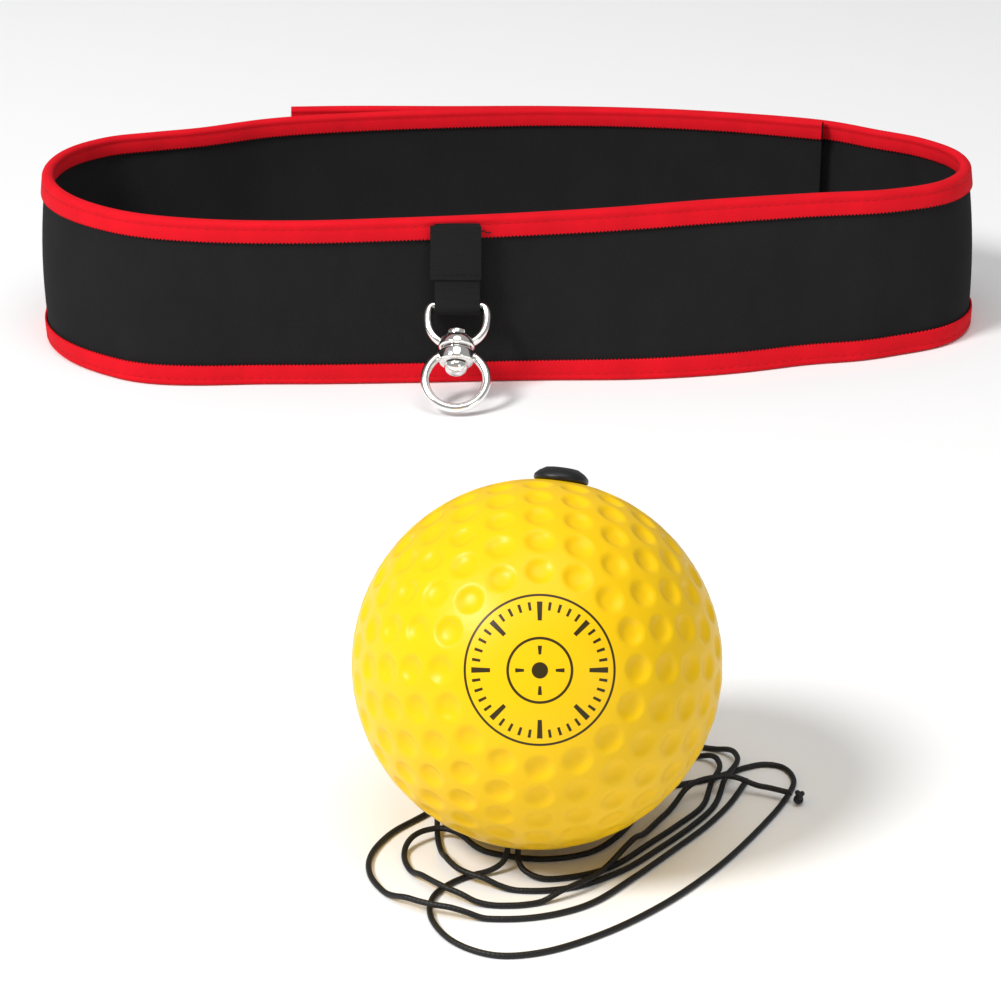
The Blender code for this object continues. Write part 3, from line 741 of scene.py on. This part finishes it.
def stitch(work, spot, axes, size):
    """One stitch: a short rounded thread along the first of three axes, with its full size in mm."""
    turn = Matrix(axes).transposed().to_4x4()
    scale = Matrix.Diagonal((*(reach * MM / 2 for reach in size), 1))
    bmesh.ops.create_icosphere(work, subdivisions=1, radius=1.0,
                               matrix=Matrix.Translation(spot) @ turn @ scale)


def seam_of_stitches(sections, start, end, step, sizes, heights, out):
    """Stitches along both faces of the strap at the given heights."""
    work = bmesh.new()
    pitch = max(1, round(sizes.stitch_pitch / step))
    for i in range(start + pitch // 2, end, pitch):
        point, along, outward = sections[i]
        for height in heights:
            for face in (1, -1):
                spot = settled(point + outward * out * face + UP * height, sizes.strap_height)
                stitch(work, spot, (along, UP, outward), (sizes.stitch_pitch / MM * STITCH_SHARE, 0.3, 0.24))
    return work


STRETCHES = (("strap", HEADBAND, "band"), ("bend", None, None), ("tongue", TONGUE, "tongue"))


class HEADBAND_OT_strap(bpy.types.Operator):
    """Elastic strap with its folded bindings and their seams"""
    bl_idname = "headband.strap"
    bl_label = "Strap"

    def execute(self, context):
        sizes = context.scene.headband_sizes
        sections, bend_start, bend_end, step = strap_sections()
        half = sizes.strap_thickness / 2
        low = sizes.binding_thickness + LOOSE
        high = sizes.strap_height
        elastic = [(*spot, 0.0) for spot in lip_bar(half, low, high - low, 10)]
        tape = tape_outline(sizes)
        out = half + LOOSE + sizes.binding_thickness - 0.08 * MM
        seam = sizes.binding_leg * SEAM_SHARE
        limits = ((0, bend_start), (bend_start, bend_end), (bend_end, len(sections) - 1))
        hinge_start = sections[bend_start][0]
        hinge_end = sections[bend_end][0]
        for (name, body, node), (start, end) in zip(STRETCHES, limits):
            cloth = add_piece(name + "_elastic_cloth", swept_strap(sections, start, end, elastic, high),
                              finish("elastic"), body, node and [node + "_elastic"])
            tapes = [add_piece(f"{name}_{side}_tape",
                               swept_strap(sections, start, end, tape, high, edge, sizes.tooth_height),
                               finish("binding"), body, node and [f"{node}_{side}_binding"])
                     for side, edge in (("top", high), ("bottom", None))]
            seams = add_piece(name + "_binding_seams",
                              seam_of_stitches(sections, start, end, step, sizes, (seam, high - seam), out),
                              finish("binding_thread"), body, sharp=80.0)
            if not body:
                for piece in (cloth, *tapes, seams):
                    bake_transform(piece)
                    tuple(hinge_start)
                    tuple(hinge_end)
        return {"FINISHED"}


class HEADBAND_OT_closure(bpy.types.Operator):
    """Loop patch on the strap's inner end and hook patch inside the tongue"""
    bl_idname = "headband.closure"
    bl_label = "Closure patches"

    def execute(self, context):
        sizes = context.scene.headband_sizes
        sections, _, _, step = strap_sections()
        near = sizes.strap_thickness / 2 + LOOSE
        far = near + sizes.patch_thickness
        low = PATCH_MARGIN
        high = sizes.strap_height - low
        middle = (near + far) / 2
        flat = lip_bar(sizes.patch_thickness / 2, low, high, 8)
        raw = distances(strap_line())
        for name, node, slot, look, body, side, first, last in (
                ("closure_loop_patch", "loop_patch", "soft_loop", "loop_pile", HEADBAND, 1, 0.2, 3.8),
                ("closure_hook_patch", "hook_patch", "stiff_hook", "hook_tape", TONGUE, -1, 29.2, 33.6)):
            start = round(raw[int(first * STRETCH_SAMPLES)] / step)
            end = min(round(raw[int(last * STRETCH_SAMPLES)] / step), len(sections) - 3)
            outline = [(out + side * middle, up, 0.0) for out, up in flat]
            patch = add_piece(name, swept_strap(sections, start, end, outline, sizes.strap_height),
                              finish(look), body, [node])
            pitch = max(1, round(sizes.stitch_pitch / step))
            edge = 1.6 * MM
            inset = 2.6 * MM
            ends = (high - low - 2 * inset) / 9
            stitches = [(i, height, False) for i in range(start + pitch, end - 1, pitch)
                        for height in (low + edge, high - edge)]
            stitches += [(i, low + inset + n * ends, True) for i in (start + 4, end - 4) for n in range(10)]
            work = bmesh.new()
            for i, height, upright in stitches:
                point, along, outward = sections[i]
                spot = point + outward * side * (far + 0.02 * MM) + UP * height
                axes = (UP, -along, outward) if upright else (along, UP, outward)
                stitch(work, spot, axes, (1.7, 0.4, 0.22))
            thread = add_piece(name + "_seam", work, finish("black_thread"), body, sharp=80.0)
        return {"FINISHED"}


# Ring tab and swivel

def joint_named(name):
    for joint in frame["record"]["behaviour"]["joints"]:
        if joint["name"] == name:
            return joint
    raise ValueError("the model has no joint named " + name)


def tab_path(sizes):
    """Side view of the folded webbing: (outward, height), down the outer ply and up the inner one."""
    bar = joint_named("ring_swing")["pos_m"]
    place, along, outward = section_at(TAB_STRETCH)
    centre = (Vector(bar) - place).dot(outward)
    height = bar[2]
    loop = sizes.wire_radius + LOOSE + sizes.tab_thickness / 2
    ply = sizes.tab_thickness / 2 + 0.1 * MM

    def drawn_in(up):
        return 1.5 * MM * ease((up - 25 * MM) / (12 * MM))

    rise = [sizes.tab_top - (sizes.tab_top - height - 4.5 * MM) * i / 8 for i in range(9)]
    side = [(centre + ply - drawn_in(up), up) for up in rise]
    for step in range(13):
        angle = math.radians(30 - 20 * step)
        side.append((centre + loop * math.cos(angle), height + loop * math.sin(angle)))
    side += [(centre - ply - drawn_in(up), up) for up in reversed(rise)]
    return smooth_line([Vector((out, up, 0)) for out, up in side], 3), place, along, outward


def webbing(path, frame_of, width, thickness):
    """A flat woven strip that follows a side view of (outward, height)."""
    section = lip_bar(width / 2, -thickness / 2, thickness / 2, 8)
    rows = len(section)
    place, along, outward = frame_of

    def spot(i, k):
        ahead = (path[min(i + 1, len(path) - 1)] - path[max(i - 1, 0)]).normalized()
        normal = Vector((-ahead.y, ahead.x, 0))
        wide, thick = section[k % rows]
        flat = path[i] + normal * thick
        return place + along * wide + outward * flat.x + UP * flat.y

    around = 2 * (width + thickness)
    return lofted(len(path) - 1, rows, spot, (distances(path)[-1], around))


class HEADBAND_OT_ring_tab(bpy.types.Operator):
    """Folded webbing that holds the swivel, with its facing, stitches and a loose thread"""
    bl_idname = "headband.ring_tab"
    bl_label = "Ring tab"

    def execute(self, context):
        sizes = context.scene.headband_sizes
        path, place, along, outward = tab_path(sizes)
        where = (place, along, outward)
        width = sizes.tab_width
        thick = sizes.tab_thickness
        strip = add_piece("ring_tab_webbing", webbing(path, where, width, thick), finish("webbing"),
                          HEADBAND, ["ring_tab"])
        cover = [point + Vector((0.8 * thick + 0.05 * MM, 0, 0)) for point in path if point.y > 27.6 * MM]
        cover = cover[:len(cover) // 2]
        shifted = (place - along * 0.35 * MM, along, outward)
        facing = add_piece("ring_tab_facing", webbing(cover, shifted, width + 1.3 * MM, thick * 0.55),
                           finish("webbing"), HEADBAND)
        work = bmesh.new()
        face = cover[0].x + thick * 0.28
        foot = cover[-1].x + thick * 0.28
        for k in range(7):
            across = (k - 3) * 1.6 * MM
            for out, height in ((face - 0.02 * MM, sizes.tab_top - 1.5 * MM), (foot - 0.1 * MM, 29.2 * MM)):
                spot = place + along * across + outward * out + UP * height
                stitch(work, spot, (along, UP, outward), (1.2, 0.3, 0.16))
        seam = add_piece("ring_tab_seam", work, finish("black_thread"), HEADBAND, sharp=80.0)
        length = distances(path)[-1]
        corner = place + along * (width / 2 - 0.3 * MM) + outward * (face - 0.5 * MM)
        thread = [corner + UP * (39.6 * MM), corner + along * 1.0 * MM + UP * 39.9 * MM,
                  corner + along * 2.0 * MM + UP * 39.5 * MM + outward * 0.2 * MM,
                  corner + along * 2.9 * MM + UP * 39.7 * MM + outward * 0.3 * MM]
        add_piece("ring_tab_loose_thread", tube(smooth_line(thread, 6), 0.16 * MM, 8), finish("black_thread"),
                  HEADBAND)
        return {"FINISHED"}


def mirrored_line(points, samples):
    """A smooth line that is the same on both sides of X = 0; the points run from one end to the middle."""
    half = [Vector((x, 0, z)) * MM for x, z in points]
    return smooth_line(half + [Vector((-p.x, 0, p.z)) for p in reversed(half)], samples)


def swivel_matrix():
    """Turns (across, out of the ring's plane, along the swivel) into the model's frame."""
    swing = joint_named("ring_swing")
    across = Vector(swing["axis"]).normalized()
    down = Vector(joint_named("swivel_spin")["axis"]).normalized()
    turn = Matrix((across, down.cross(across), down)).transposed().to_4x4()
    return Matrix.Translation(Vector(swing["pos_m"])) @ turn


class HEADBAND_OT_swivel(bpy.types.Operator):
    """Swivel: wire rings, collars, washer and rivet"""
    bl_idname = "headband.swivel"
    bl_label = "Swivel"

    def execute(self, context):
        wire = context.scene.headband_sizes.wire_radius
        eye_line = list(EYE_SHOULDER)
        for degrees in range(-35, 90, 20):
            angle = math.radians(degrees)
            eye_line.append((-EYE_RADIUS * math.cos(angle), EYE_MIDDLE + EYE_RADIUS * math.sin(angle)))
        matrix = swivel_matrix()
        for name, work, body, node in (
                ("swivel_upper_wire", tube(mirrored_line(D_RING, 10), wire, 20), SWIVEL_TOP,
                 "swivel_upper_ring"),
                ("swivel_upper_collar", turned(UPPER_COLLAR, 48), SWIVEL_TOP, None),
                ("swivel_lower_wire", tube(mirrored_line(eye_line, 10), wire, 20), SWIVEL_BOTTOM,
                 "swivel_lower_ring"),
                ("swivel_lower_collar", turned(LOWER_COLLAR, 48), SWIVEL_BOTTOM, None),
                ("swivel_friction_washer", turned(WASHER, 48, 0.04 * MM), SWIVEL_TOP, "swivel_washer"),
                ("swivel_pin", turned(RIVET, 48), SWIVEL_TOP, "swivel_rivet")):
            bmesh.ops.transform(work, matrix=matrix, verts=work.verts)
            bmesh.ops.recalc_face_normals(work, faces=work.faces)
            add_piece(name, work, finish("nickel_plate"), body, node and [node], sharp=40.0)
        return {"FINISHED"}


# Ball and cord

def ball_middle():
    low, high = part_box("ball_foam")
    middle = (Vector(low) + Vector(high)) / 2
    middle.z = Vector(low).z + bpy.context.scene.headband_sizes.ball_radius
    return middle


def dimple_places():
    """Directions of the dimples, in rings about the print, clear of the plug and the cord's exit."""
    turn = print_frame().to_3x3()
    places = []
    for tilt, count in DIMPLE_RINGS:
        for n in range(count):
            around = 2 * math.pi * n / count
            flat = math.sin(math.radians(tilt))
            deep = math.cos(math.radians(tilt))
            way = turn @ Vector((flat * math.sin(around), flat * math.cos(around), deep))
            if math.degrees(way.angle(BALL_AXIS)) < PLUG_CLEARING:
                continue
            if math.degrees(way.angle(-BALL_AXIS)) < EXIT_CLEARING:
                continue
            places.append(way)
    return places


class HEADBAND_OT_ball(bpy.types.Operator):
    """Foam ball with its dimples, printed target and plug"""
    bl_idname = "headband.ball"
    bl_label = "Ball"

    def execute(self, context):
        sizes = context.scene.headband_sizes
        radius = sizes.ball_radius
        middle = ball_middle()
        places = dimple_places()
        tree = KDTree(len(places))
        for n, way in enumerate(places):
            tree.insert(way, n)
        tree.balance()
        half = sizes.dimple_width / 2
        work = bmesh.new()
        bmesh.ops.create_icosphere(work, subdivisions=7, radius=1.0)
        for vert in work.verts:
            way = vert.co.normalized()
            away = tree.find(way)[2] * radius
            sunk = 0.0
            if away < half:
                sunk = sizes.dimple_depth * (1 - (away / half) ** 3)
            lip = 0.05 * MM * math.exp(-((away - half) / (0.5 * MM)) ** 2)
            exit_away = (way + BALL_AXIS).length * radius
            funnel = 1.4 * MM * ease((3.0 * MM - exit_away) / (1.6 * MM))
            vert.co = middle + way * (radius - sunk + lip * 0.5 - funnel - 0.02 * MM)
        ball = add_piece("ball_skin", work, finish("ball_foam"), BALL, ["ball_foam"],
                         sharp=89.0)
        plug = turned([(r, z + radius / MM + 0.1) for r, z in PLUG], 56, 0.15 * MM)
        turn = BALL_AXIS.to_track_quat("Z", "X").to_matrix().to_4x4()
        bmesh.ops.transform(plug, matrix=Matrix.Translation(middle) @ turn, verts=plug.verts)
        bmesh.ops.recalc_face_normals(plug, faces=plug.faces)
        add_piece("ball_plug_cap", plug, finish("plug_rubber"), BALL, ["ball_plug"], sharp=45.0)
        for node in ("anchor_knot", "cord_in_ball"):
            hidden = bpy.data.objects[node]
            for place in hidden.material_slots:
                place.material = finish("cord_cover")
        return {"FINISHED"}


def tail_line(route, side, below):
    """A tail from its exit along its route, lifted in long low humps over the strands below."""
    radius = bpy.context.scene.headband_sizes.ball_radius
    across = Vector((1, 0, 0)) - BALL_AXIS * BALL_AXIS.x
    leave = ball_middle() - BALL_AXIS * (radius - 0.6 * MM)
    leave = leave + across.normalized() * side * EXIT_SPREAD
    points = [leave, leave - BALL_AXIS * 1.3 * MM]
    points += [Vector((*spot, LYING)[:3]) * MM - LAYOUT_MIDDLE for spot in route]
    line = smooth_line(points, 8)
    for point in line:
        point.z = max(point.z, CORD_RADIUS)
    walked = distances(line)
    lifts = [0.0] * len(line)
    touching = 2.4 * CORD_RADIUS
    for i, point in enumerate(line):
        earlier = [q.z for q in below if (q - point).xy.length < touching]
        earlier += [line[j].z + lifts[j] for j in range(i)
                    if walked[i] - walked[j] > OWN_REACH and (line[j] - point).xy.length < touching]
        if not earlier:
            continue
        lift = max(0.0, max(earlier) + 2 * CORD_RADIUS + CORD_CLEARANCE - point.z)
        for j, place in enumerate(walked):
            near = 1 - abs(place - walked[i]) / HUMP_LENGTH
            lifts[j] = max(lifts[j], lift * ease(1.5 * near))
    return [point + Vector((0, 0, lift)) for point, lift in zip(line, lifts)]


def overhand_knot(middle, along, reach, thick):
    """A pulled-tight knot: a closed trefoil of cord about one point."""
    steps = 96
    turn = along.to_track_quat("Z", "X").to_matrix()
    points = []
    for i in range(steps):
        t = 2 * math.pi * i / steps
        loop = Vector((math.sin(t) + 2 * math.sin(2 * t), math.cos(t) - 2 * math.cos(2 * t),
                       -math.sin(3 * t)))
        points.append(middle + turn @ loop * reach / 3)
    sides = 10

    def place(i, k):
        here = points[i % steps]
        ahead = (points[(i + 1) % steps] - points[(i - 1) % steps]).normalized()
        side = here - middle
        side = (side - ahead * side.dot(ahead)).normalized()
        angle = 2 * math.pi * (k % sides) / sides
        return here + (side * math.cos(angle) + ahead.cross(side) * math.sin(angle)) * thick

    return lofted(steps, sides, place, (30 * MM, 2 * math.pi * thick))


class HEADBAND_OT_cord(bpy.types.Operator):
    """Two loose tails of the doubled cord and the knot at the end of one"""
    bl_idname = "headband.cord"
    bl_label = "Cord"

    def execute(self, context):
        left = tail_line(LEFT_TAIL, -1, [])
        right = tail_line(RIGHT_TAIL, 1, left)
        tip = right[-1]
        along = (right[-1] - right[-4]).normalized()
        spot = tip + along * (END_KNOT_RADIUS + 0.1 * MM)
        spot.z = (tip.z + END_KNOT_RADIUS) / 2
        knot = add_piece("cord_knot", overhand_knot(spot, along, 0.95 * MM, 0.5 * MM), finish("cord_cover"),
                         BALL, ["cord_end_knot"], sharp=80.0)
        for name, line, length, end, extra in (("cord_left", left, LEFT_LENGTH, "bare", []),
                                               ("cord_right", right, RIGHT_LENGTH, "knot", [knot])):
            fine = even_line(smooth_line(line[::2] + line[-1:] if len(line) % 2 == 0 else line[::2], 3),
                             0.6 * MM)
            piece = add_piece(name, tube(fine, CORD_RADIUS, 12), finish("cord_cover"), BALL,
                              [name + "_tail"], sharp=70.0)
            tuple(line[0])
            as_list(extra)
        return {"FINISHED"}


# Stage

class HEADBAND_OT_stage(bpy.types.Operator):
    """Pale floor, soft lights and the camera"""
    bl_idname = "headband.stage"
    bl_label = "Stage"

    def execute(self, context):
        scene = context.scene
        colour = tuple(scene.headband_colours.floor)
        work = bmesh.new()
        bmesh.ops.create_grid(work, x_segments=1, y_segments=1, size=6.0)
        mesh = bpy.data.meshes.new("floor")
        work.to_mesh(mesh)
        work.free()
        material, tree, shader = started("floor_finish", colour, 0.9, Specular_IOR_Level=0.1)
        mottle = placed_group(tree, "Mottle", Place=surface_map(tree, "Object"), Scale=3.0, Low=0.995,
                              High=1.005)
        tinted(tree, shader, colour, mottle.outputs["Value"])
        mesh.materials.append(material)
        floor = bpy.data.objects.new("floor", mesh)
        scene.collection.objects.link(floor)
        world = scene.world or bpy.data.worlds.new("studio")
        scene.world = world
        world.use_nodes = True
        background = world.node_tree.nodes["Background"]
        background.inputs["Color"].default_value = (1.0, 1.0, 1.0, 1.0)
        background.inputs["Strength"].default_value = SKY_STRENGTH
        scene.view_settings.view_transform = "Standard"
        for name, place, aim, size, power in LAMPS:
            lamp = bpy.data.lights.new(name, "AREA")
            lamp.shape = "DISK"
            lamp.size = size
            lamp.energy = power
            light = bpy.data.objects.new(name, lamp)
            light.location = place
            light.rotation_euler = (Vector(aim) - Vector(place)).to_track_quat("-Z", "Y").to_euler()
            scene.collection.objects.link(light)
        view = bpy.data.cameras.new("view")
        view.lens = CAMERA_LENS
        view.sensor_width = 36.0
        view.clip_start = 0.05
        camera = bpy.data.objects.new("view", view)
        camera.location = CAMERA_PLACE
        camera.rotation_euler = (math.radians(CAMERA_TILT), 0.0, 0.0)
        scene.collection.objects.link(camera)
        scene.camera = camera
        return {"FINISHED"}


class HEADBAND_PT_panel(bpy.types.Panel):
    bl_label = "Headband"
    bl_idname = "HEADBAND_PT_panel"
    bl_space_type = "VIEW_3D"
    bl_region_type = "UI"
    bl_category = "Headband"

    def draw(self, context):
        for group in (context.scene.headband_sizes, context.scene.headband_colours):
            box = self.layout.box()
            for name in group.bl_rna.properties.keys():
                if name not in {"rna_type", "name"}:
                    box.prop(group, name)
        for operator in OPERATORS:
            self.layout.operator(operator.bl_idname)


OPERATORS = (HEADBAND_OT_stage, HEADBAND_OT_cord, HEADBAND_OT_ball, HEADBAND_OT_strap, HEADBAND_OT_closure,
             HEADBAND_OT_ring_tab, HEADBAND_OT_swivel)
CLASSES = (HeadbandSizes, HeadbandColours, *OPERATORS, HEADBAND_PT_panel)


def register():
    for cls in CLASSES:
        bpy.utils.register_class(cls)
    bpy.types.Scene.headband_sizes = bpy.props.PointerProperty(type=HeadbandSizes)
    bpy.types.Scene.headband_colours = bpy.props.PointerProperty(type=HeadbandColours)


def unregister():
    del bpy.types.Scene.headband_colours
    del bpy.types.Scene.headband_sizes
    for cls in reversed(CLASSES):
        bpy.utils.unregister_class(cls)


def main():
    register()
    for operator in (bpy.ops.headband.stage, bpy.ops.headband.cord, bpy.ops.headband.ball,
                     bpy.ops.headband.strap, bpy.ops.headband.closure, bpy.ops.headband.ring_tab,
                     bpy.ops.headband.swivel):
        operator()


if __name__ == "__main__":
    main()
